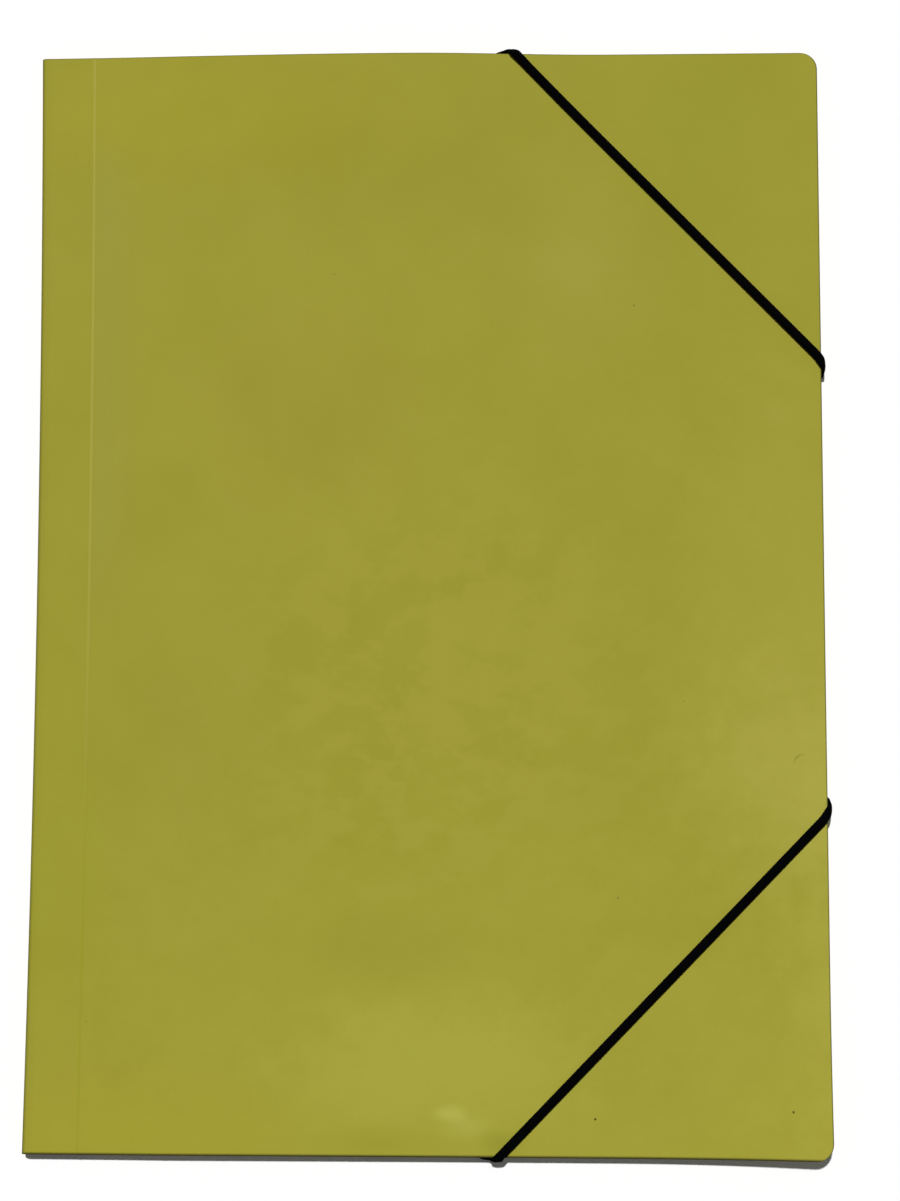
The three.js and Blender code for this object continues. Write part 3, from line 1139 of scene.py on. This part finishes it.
@dataclass(frozen=True)
class Scuff:
    """A short curved scuff: the part of a thin ring that lies in a soft spot.

    Fields:
        middle: of the ring, from the spine and the foot, in mm.
        radius: of the ring.
        line: from its line to where it starts to fade and to where it is gone.
        spot: middle of the spot, as the ring's is given.
        spot_reach: half-axes of the spot, in mm.
        colour: of the scuff.
        strength: of that colour.
    """

    middle: Pair = (223.6, 110.6)
    radius: float = 3.2 * MM
    line: Pair = (0.1 * MM, 0.45 * MM)
    spot: Pair = (221.2, 113.4)
    spot_reach: Pair = (3.4, 3.4)
    colour: Colour = linear(118, 114, 34)
    strength: float = 0.5


@dataclass(frozen=True)
class CardFinish:
    """Pressed card, dyed through, with a calendered satin face.

    Fields:
        cloud_dark, cloud_pale: ends of its colour's slow variation, with clouds its pattern.
        fibre_dark, fibre_pale: ends of its fine grain, with fibres its pattern and fibre_share its strength.
        worn: colour of the rubbed patches, with patches their pattern, and rub_middle and rub_reach the
            ellipse that they fade over in mm, to rub_share at its middle.
        crest_highlight: painted highlight on the scored line's bead, with some whitening of the coating there,
            and furrow_shade the painted shade of that line lower down the page, with line the distances from
            its middle over which both fade.
            crest_highlight_ramp, furrow_shade_ramp: where up the page each starts and is full, in
                half-heights, and its shares.
        reflection_band: painted reflection, a faint cool band beside that line, with reflection_band_width and
        reflection_band_span the four levels across and up the page that it lies between, and
        reflection_band_share its strength.
        fleck: of the dark specks, with speck_edge the half-width of a speck's soft edge.
        edge_shade: painted shade on the cut edges and by the spine fold, darkest at the foot edge, which
        faces away from the lamp, laid on to edge_shade_share.
        sheen: pattern of its roughness, with roughness the ends of its range.
        specular: strength of its shine.
        swell: pattern of its slow unevenness, with swell_height and fibre_height the heights of both.
        ragged: pattern that makes the marks' edges uneven, by ragged_by of their half-axes.
        specks: the specks themselves.
        scuff: the short curved scuff by the opening edge.
        marks: soft paler and darker places. Those that are painted light are painted sheen, brightening
        the card toward the foot, by the opening edge and below the head, and the painted highlight of a small
        dent near the foot with a broad glow above it; the rest are uneven tone.
    """

    cloud_dark: Colour = linear(154, 149, 49)
    cloud_pale: Colour = linear(158, 153, 53)
    clouds: Grain = Grain(34, 3, 0.55, (0.35, 0.65))
    fibre_dark: Colour = linear(149, 144, 46)
    fibre_pale: Colour = linear(163, 158, 58)
    fibres: Grain = Grain(2600, 4, 0.7, (0.3, 0.7), (1.0, 0.45, 1.0))
    fibre_share: float = 0.22
    worn: Colour = linear(161, 155, 58)
    patches: Grain = Grain(76, 4, 0.6, (0.45, 0.56), (1.0, 1.3, 1.0))
    rub_middle: Pair = (118, 124)
    rub_reach: Pair = (104, 124)
    rub_share: float = 0.72
    # Painted highlight and painted shade of the scored line.
    crest_highlight: Colour = linear(184, 177, 92)
    crest_highlight_ramp: Levels = (-0.5, 0.2, 0, 0.36)
    furrow_shade: Colour = linear(148, 150, 38)
    furrow_shade_ramp: Levels = (-0.3, -0.45, 0, 0.5)
    line: Pair = (0.15 * MM, 0.42 * MM)
    # Painted reflection beside the scored line.
    reflection_band: Colour = linear(151, 151, 70)
    reflection_band_width: Levels = (0, 1.5 * MM, 4 * MM, 15 * MM)
    reflection_band_span: Levels = (-0.1, 0.15, 0.76, 0.86)
    reflection_band_share: float = 0.3
    fleck: Colour = linear(84, 74, 30)
    speck_edge: float = 0.12 * MM
    # Painted shade on the cut edges, darkest at the foot.
    edge_shade: Colour = linear(36, 33, 12)
    edge_shade_share: float = 0.96
    sheen: Grain = Grain(90, 3, 0.6, (0.3, 0.7))
    roughness: Pair = (0.58, 0.66)
    specular: float = 0.05
    swell: Grain = Grain(110, 2, 0.5)
    swell_height: float = 0.04 * MM
    fibre_height: float = 0.012 * MM
    ragged: Grain = Grain(130, 3, 0.6, (0.25, 0.75))
    ragged_by: float = 0.16
    specks: tuple[Speck, ...] = (
        Speck((163.3, 10.9), 0.34, 1.0),
        Speck((219.0, 13.4), 0.34, 0.95),
        Speck((170.0, 72.9), 0.3, 0.5),
        Speck((175.7, 244.5), 0.28, 0.5),
        Speck((87.8, 254.3), 0.2, 0.5),
        Speck((189.3, 128.9), 0.22, 0.4),
        Speck((17.7, 37.3), 0.22, 0.35),
    )
    scuff: Scuff = Scuff()
    marks: tuple[SoftMark, ...] = (
        # Painted sheen: the card brightens toward the foot.
        SoftMark((120, 0), (210, 150), linear(174, 172, 68), 0.3),
        SoftMark((6, 84), (22, 92), linear(152, 157, 46), 0.24),
        SoftMark((44, 104), (44, 96), linear(151, 153, 64), 0.16),
        SoftMark((30, 6), (70, 24), linear(168, 158, 42), 0.34),
        # These five are painted sheen: pale bluish glows by the opening edge and at the lower right, and a
        # broad painted glow above the dent near the foot.
        SoftMark((228, 150), (62, 120), linear(178, 172, 74), 0.26),
        SoftMark((232, 60), (22, 90), linear(184, 178, 78), 0.26),
        SoftMark((222, 112), (42, 46), linear(184, 178, 84), 0.28),
        SoftMark((118, 26), (64, 32), linear(178, 178, 76), 0.34),
        SoftMark((212, 30), (44, 44), linear(170, 168, 66), 0.25),
        SoftMark((104, 58), (42, 17), linear(144, 137, 42), 0.28),
        SoftMark((102, 4), (26, 7), linear(148, 146, 36), 0.34),
        SoftMark((137, 4), (9, 5), linear(132, 132, 38), 0.4),
        # These two are the painted highlight on a small dent near the foot.
        SoftMark((121.4, 12.2), (7, 3.6), linear(208, 204, 108), 0.3),
        SoftMark((125.6, 8.8), (9, 5), linear(184, 182, 90), 0.26),
        # Painted sheen: a pale bluish glow below the head.
        SoftMark((160, 256), (36, 40), linear(160, 158, 70), 0.24),
        SoftMark((50, 302), (100, 34), linear(166, 157, 42), 0.34),
        SoftMark((196, 300), (46, 46), linear(145, 147, 43), 0.28),
        SoftMark((78, 214), (52, 46), linear(152, 141, 52), 0.22),
        SoftMark((217, 212), (6, 6), linear(168, 167, 74), 0.2),
    )

    def build(self) -> bpy.types.Material:
        """Make the card: its own colour everywhere, the marks on the front sheet alone, and the painted shade
        on its edges.

        Returns:
            The material.
        """
        nodes = Nodes("pressed_card")
        nodes.coordinates = nodes.attribute("flat").outputs["Vector"]
        axes = nodes.add("ShaderNodeSeparateXYZ")
        nodes.link(nodes.coordinates, axes.inputs[0])
        fibres = nodes.grain(self.fibres)
        fine = nodes.mix(fibres, self.fibre_dark, self.fibre_pale)
        plain = nodes.mix(nodes.grain(self.clouds), self.cloud_dark, self.cloud_pale)
        plain = nodes.mix(self.fibre_share, plain, fine)
        marked = self.marked(nodes, plain, axes.outputs["X"], axes.outputs["Y"])
        on_front = nodes.spread(axes.outputs["Z"], CARD.front_z - 2 * CARD.thick, CARD.front_z - CARD.thick)
        colour = nodes.mix(on_front, plain, marked)
        # Painted shade on the cut edges and by the spine fold.
        edge_shaded = nodes.times(nodes.attribute("edge_shade").outputs["Fac"], self.edge_shade_share)
        nodes.link(nodes.mix(edge_shaded, colour, self.edge_shade), nodes.shader.inputs["Base Color"])
        nodes.link(nodes.grain(self.sheen, *self.roughness), nodes.shader.inputs["Roughness"])
        nodes.link(self.specular, nodes.shader.inputs["Specular IOR Level"])
        waves = nodes.bump(nodes.noise(self.swell), self.swell_height)
        nodes.link(nodes.bump(fibres, self.fibre_height, waves), nodes.shader.inputs["Normal"])
        return nodes.material

    def marked(self, nodes: Nodes, colour: Socket, x: Socket, y: Socket) -> Socket:
        """Lay the rubbing, the soft marks with their painted sheen and highlight, the scored line with its
        painted highlight, shade and reflection, the scuff and the specks over the card.

        Args:
            nodes: the material's nodes.
            colour: the plain card's.
            x: X of the surface in the flat folder.
            y: its Y.

        Returns:
            The colour of the front cover.
        """
        rubbed = nodes.times(nodes.grain(self.patches), self.fade(nodes, self.rub_middle, self.rub_reach))
        colour = nodes.mix(nodes.times(rubbed, self.rub_share), colour, self.worn)
        ragged = nodes.grain(self.ragged, -self.ragged_by, self.ragged_by)
        for mark in self.marks:
            share = nodes.times(self.fade(nodes, mark.place, mark.reach, ragged), mark.strength)
            colour = nodes.mix(share, colour, mark.colour)
        colour = self.scored(nodes, colour, x, y)
        colour = nodes.mix(self.scuffed(nodes), colour, self.scuff.colour)
        for speck in self.specks:
            radius = speck.radius * MM
            near, far = radius - self.speck_edge, radius + self.speck_edge
            inside = nodes.spread(nodes.distance(speck.place), near, far, 1, 0)
            colour = nodes.mix(nodes.times(inside, speck.strength), colour, self.fleck)
        return colour

    def fade(self, nodes: Nodes, place: Pair, reach: Pair, ragged: Socket | float = 0.0) -> Socket:
        """Fade smoothly from a place out over an ellipse.

        The distance is measured in the ellipse's half-axes, with a ragged value added to it where given, and
        1 less it is smoothed by its own S-curve.

        Args:
            nodes: the material's nodes.
            place: middle of the ellipse, in mm from the spine and the foot.
            reach: its half-axes, in mm.
            ragged: what is added to the distance.

        Returns:
            1 at the place and 0 outside the ellipse.
        """
        mapping = nodes.add("ShaderNodeMapping")
        x, y, _ = CARD.face(place)
        scale = (1 / (reach[0] * MM), 1 / (reach[1] * MM), 0.0)
        nodes.link(scale, mapping.inputs["Scale"])
        nodes.link((-x * scale[0], -y * scale[1], 0.0), mapping.inputs["Location"])
        nodes.link(nodes.coordinates, mapping.inputs["Vector"])
        length = nodes.add("ShaderNodeVectorMath", operation="LENGTH")
        nodes.link(mapping.outputs["Vector"], length.inputs[0])
        distance = nodes.math("ADD", length.outputs["Value"], ragged)
        return nodes.spread(distance, 0, 1, 1, 0, smooth=True)

    def scuffed(self, nodes: Nodes) -> Socket:
        """Find the scuff's share: a thin ring times a soft spot.

        Args:
            nodes: the material's nodes.

        Returns:
            The share of its colour.
        """
        scuff = self.scuff
        off = nodes.math("ABSOLUTE", nodes.math("SUBTRACT", nodes.distance(scuff.middle), scuff.radius))
        line = nodes.spread(off, *scuff.line, 1, 0)
        where = self.fade(nodes, scuff.spot, scuff.spot_reach)
        return nodes.times(nodes.times(line, where), scuff.strength)

    def scored(self, nodes: Nodes, colour: Socket, x: Socket, y: Socket) -> Socket:
        """Lay the scored line over the card: the painted reflection in the cool band beside it, the painted
        shade of its lower stretch and the painted highlight on its crest.

        Args:
            nodes: the material's nodes.
            colour: the card's, under the line.
            x: X of the surface in the flat folder.
            y: its Y.

        Returns:
            The colour with the line on it.
        """
        past = nodes.math("SUBTRACT", x, CARD.score_x)
        up = nodes.math("DIVIDE", y, CARD.half_height)
        line = nodes.spread(nodes.math("ABSOLUTE", past), *self.line, 1, 0)
        # Painted reflection: a faint cool band beside the scored line.
        band = nodes.times(nodes.fork(past, *self.reflection_band_width), nodes.fork(up, *self.reflection_band_span))
        colour = nodes.mix(nodes.times(band, self.reflection_band_share), colour, self.reflection_band)
        # Painted shade on the scored line lower down the page.
        colour = nodes.mix(nodes.times(line, nodes.spread(up, *self.furrow_shade_ramp)), colour, self.furrow_shade)
        # Painted highlight on the scored line's crest, with some whitening of the coating.
        return nodes.mix(nodes.times(line, nodes.spread(up, *self.crest_highlight_ramp)), colour, self.crest_highlight)


@dataclass(frozen=True)
class ElasticFinish:
    """Black textile yarn over rubber: matt, with a faint sheen and paler worn crowns.

    Fields:
        dark, pale: ends of its colour.
        yarn: pattern of the yarn's fibres, with yarn_height the height of its bump.
        wear: pattern of the worn stretches, with wear_share the ends of its strength.
        roughness: of the yarn.
        specular: strength of its shine.
    """

    dark: Colour = linear(1, 1, 2)
    pale: Colour = linear(9, 8, 10)
    yarn: Grain = Grain(5200, 3, 0.6, (0.35, 0.7))
    yarn_height: float = 0.03 * MM
    wear: Grain = Grain(120, 2, 0.5, (0.3, 0.7))
    wear_share: Pair = (0.3, 0.9)
    roughness: float = 0.9
    specular: float = 0.03

    def build(self) -> bpy.types.Material:
        """Make the cords' finish.

        Returns:
            The material.
        """
        nodes = Nodes("black_elastic")
        yarn = nodes.noise(self.yarn)
        share = nodes.times(nodes.spread(yarn, *self.yarn.band), nodes.grain(self.wear, *self.wear_share))
        nodes.link(nodes.mix(share, self.dark, self.pale), nodes.shader.inputs["Base Color"])
        nodes.link(nodes.bump(yarn, self.yarn_height), nodes.shader.inputs["Normal"])
        nodes.link(self.roughness, nodes.shader.inputs["Roughness"])
        nodes.link(self.specular, nodes.shader.inputs["Specular IOR Level"])
        return nodes.material


@dataclass(frozen=True)
class MetalFinish:
    """Plain rolled steel of the cord ends, faintly scratched along its length.

    Fields:
        dark, pale: ends of its colour.
        streaks: pattern of the scratches, with streak_height the height of their bump.
        roughness: the ends of its range.
    """

    dark: Colour = linear(150, 152, 155)
    pale: Colour = linear(186, 188, 190)
    streaks: Grain = Grain(900, 4, 0.6, (0.3, 0.7), (1.0, 0.1, 1.0))
    streak_height: float = 0.01 * MM
    roughness: Pair = (0.28, 0.45)

    def build(self) -> bpy.types.Material:
        """Make the metal's finish.

        Returns:
            The material.
        """
        nodes = Nodes("rolled_steel")
        streaks = nodes.noise(self.streaks)
        rough = nodes.spread(streaks, *self.streaks.band, *self.roughness)
        nodes.link(nodes.mix(streaks, self.dark, self.pale), nodes.shader.inputs["Base Color"])
        nodes.link(rough, nodes.shader.inputs["Roughness"])
        nodes.link(nodes.bump(streaks, self.streak_height), nodes.shader.inputs["Normal"])
        nodes.link(1.0, nodes.shader.inputs["Metallic"])
        return nodes.material


@dataclass(frozen=True)
class DistantLamp:
    """A far lamp whose light falls evenly over the table.

    Fields:
        name: of the lamp.
        toward: direction from the folder to the lamp.
        strength: light on a face square to it, in watts a square metre.
        width: of the lamp as seen from the folder, in degrees, which sets how soft a shadow's end is.
    """

    name: str
    toward: Triple
    strength: float
    width: float

    def build(self) -> None:
        """Add the lamp."""
        lamp = bpy.data.lights.new(self.name, "SUN")
        lamp.energy = self.strength
        lamp.angle = math.radians(self.width)
        holder = bpy.data.objects.new(self.name, lamp)
        bpy.context.scene.collection.objects.link(holder)
        holder.matrix_world = Vector(self.toward).to_track_quat("Z", "Y").to_matrix().to_4x4()


@dataclass(frozen=True)
class Studio:
    """Floor, world and lamps of a plain white table top.

    Fields:
        ambient: strength of the even light from all round.
        floor_half: half-width of the floor.
        floor_colour: of the floor.
        floor_glow: strength of its own light, which the camera alone sees.
        floor_roughness: of the floor.
        floor_specular: strength of its shine.
        lamps: the lamps.
    """

    ambient: float = 0.075
    floor_half: float = 3.0
    floor_colour: Colour = (0.98, 0.98, 0.98, 1.0)
    floor_glow: float = 0.035
    floor_roughness: float = 0.9
    floor_specular: float = 0.1
    lamps: tuple[DistantLamp, ...] = (DistantLamp("key_lamp", (-0.8, 4.3, 7.5), 3.32, 3.2),)

    def floor(self) -> None:
        """Add the floor, which glows faintly to the camera so that it shows white but keeps the shadow."""
        ends = [-self.floor_half, self.floor_half]
        x, y = np.meshgrid(ends, ends)
        piece = MeshPiece("floor")
        piece.add(np.stack([x, y, np.zeros(x.shape)], axis=-1), grid_faces(*x.shape))
        floor = piece.build()
        nodes = Nodes("white_table")
        path = nodes.add("ShaderNodeLightPath").outputs
        seen = nodes.math("MAXIMUM", path["Is Camera Ray"], path["Is Glossy Ray"])
        seen = nodes.math("MAXIMUM", seen, path["Is Transmission Ray"])
        for source, name in (
            (self.floor_colour, "Base Color"),
            (self.floor_roughness, "Roughness"),
            (self.floor_specular, "Specular IOR Level"),
            ((1.0, 1.0, 1.0, 1.0), "Emission Color"),
            (nodes.times(seen, self.floor_glow), "Emission Strength"),
        ):
            nodes.link(source, nodes.shader.inputs[name])
        floor.data.materials.append(nodes.material)

    def world(self) -> None:
        """Light the scene evenly, and show white to the camera."""
        world = bpy.data.worlds.new("studio")
        world.use_nodes = True
        tree = world.node_tree
        background = tree.nodes["Background"]
        background.inputs["Color"].default_value = (1, 1, 1, 1)
        path = tree.nodes.new("ShaderNodeLightPath")
        level = tree.nodes.new("ShaderNodeMapRange")
        tree.links.new(path.outputs["Is Camera Ray"], level.inputs["Value"])
        level.inputs["To Min"].default_value = self.ambient
        level.inputs["To Max"].default_value = 1.0
        tree.links.new(level.outputs["Result"], background.inputs["Strength"])
        bpy.context.scene.world = world

    def build(self) -> None:
        """Make the floor, the world and the lamps, with colours shown as they are."""
        bpy.context.scene.view_settings.view_transform = "Standard"
        self.floor()
        self.world()
        for lamp in self.lamps:
            lamp.build()


@dataclass(frozen=True)
class PhotoCamera:
    """The camera at the photograph's place, fitted to the front cover's four corners.

    Fields:
        eye: its place from the middle of the front cover's face.
        aim: the point of that face in the middle of the picture.
        roll: turn of the camera about its view, anticlockwise, in degrees.
        lens: focal length in mm, on a long side of sensor mm.
        sensor: the picture's long side, in mm.
        near: nothing closer than this shows.
    """

    eye: Triple = (18.9 * MM, -39.5 * MM, 501 * MM)
    aim: Pair = (7.0 * MM, -2.0 * MM)
    roll: float = 0.08
    lens: float = 52.0
    sensor: float = 36.0
    near: float = 10 * MM

    def build(self) -> None:
        """Add the camera and make it the scene's."""
        camera = bpy.data.cameras.new("photo_camera")
        camera.sensor_width = self.sensor
        camera.lens = self.lens
        camera.clip_start = self.near
        holder = bpy.data.objects.new("photo_camera", camera)
        bpy.context.scene.collection.objects.link(holder)
        middle = Vector(((CARD.spine_x + CARD.edge_x) / 2, 0, CARD.front_z))
        eye = middle + Vector(self.eye)
        back = (eye - middle - Vector((*self.aim, 0))).normalized()
        right = Vector((0, 1, 0)).cross(back).normalized()
        turn = Matrix((right, back.cross(right), back)).transposed().to_4x4()
        spin = Matrix.Rotation(math.radians(self.roll), 4, "Z")
        holder.matrix_world = Matrix.Translation(eye) @ turn @ spin
        bpy.context.scene.camera = holder


def dress(piece: bpy.types.Object, material: bpy.types.Material, slot: Slot) -> None:
    """Give a new piece its finish.

    Args:
        piece: the piece's object.
        material: its material.
        slot: the record's slot that it stands for; not used.
    """
    piece.data.materials.clear()
    piece.data.materials.append(material)


class Folder:
    """The whole folder: sheets, cords and metal ends; the back panel and the cords ride on the back cover's
    body.
    """

    def __init__(self) -> None:
        """Make the finishes and settle the cords' routes."""
        self.card = CardFinish().build()
        self.elastic = ElasticFinish().build()
        self.metal = MetalFinish().build()
        upper, lower = (89 * MM, 91.8 * MM), (94.2 * MM, 96.6 * MM)
        self.cords = [
            ElasticCord("upper_cord", "elastic_upper", 1, *upper, stand_off=0.45 * MM, slip=1.5 * MM),
            ElasticCord("lower_cord", "elastic_lower", -1, *lower, slip=-1.5 * MM),
        ]

    def covers(self) -> None:
        """Add both card sheets."""
        cover = CoverSheet().build()
        dress(cover, self.card, Slot.CARD)
        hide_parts("front_cover")
        reach = CARD.spine_radius - CARD.thick
        x = CARD.spine_x
        start, end = (x, 0, CARD.spine_z - reach), (x, 0, CARD.spine_z + reach)
        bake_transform(cover)
        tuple(start)
        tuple(end)
        LOG.info("cover_sheet: %d points", len(cover.data.vertices))
        holes = [hole for cord in self.cords for hole in cord.holes()]
        back = BackPanel(holes).build()
        dress(back, self.card, Slot.CARD)
        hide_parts("back_cover")
        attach(back, Body.BACK.value)
        LOG.info("back_panel: %d points", len(back.data.vertices))

    def elastics(self) -> None:
        """Add both cords, riding on the back cover's body."""
        for cord in self.cords:
            piece = cord.build()
            dress(piece, self.elastic, Slot.ELASTIC)
            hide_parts(cord.node)
            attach(piece, Body.BACK.value)
            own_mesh(piece)
            LOG.info("%s: %d points", piece.name, len(piece.data.vertices))

    def cord_ends(self) -> None:
        """Give the metal cord ends their finish."""
        for name in ("cord_end_top", "cord_end_upper_right", "cord_end_lower_right", "cord_end_bottom"):
            bpy.data.objects[name].material_slots[0].material = self.metal
            LOG.info("%s: finished", name)


def main() -> None:
    """Build the scene in order."""
    logging.basicConfig(level=logging.INFO, format="%(name)s %(message)s")
    Studio().build()
    PhotoCamera().build()
    folder = Folder()
    folder.covers()
    folder.elastics()
    folder.cord_ends()


if __name__ == "__main__":
    main()
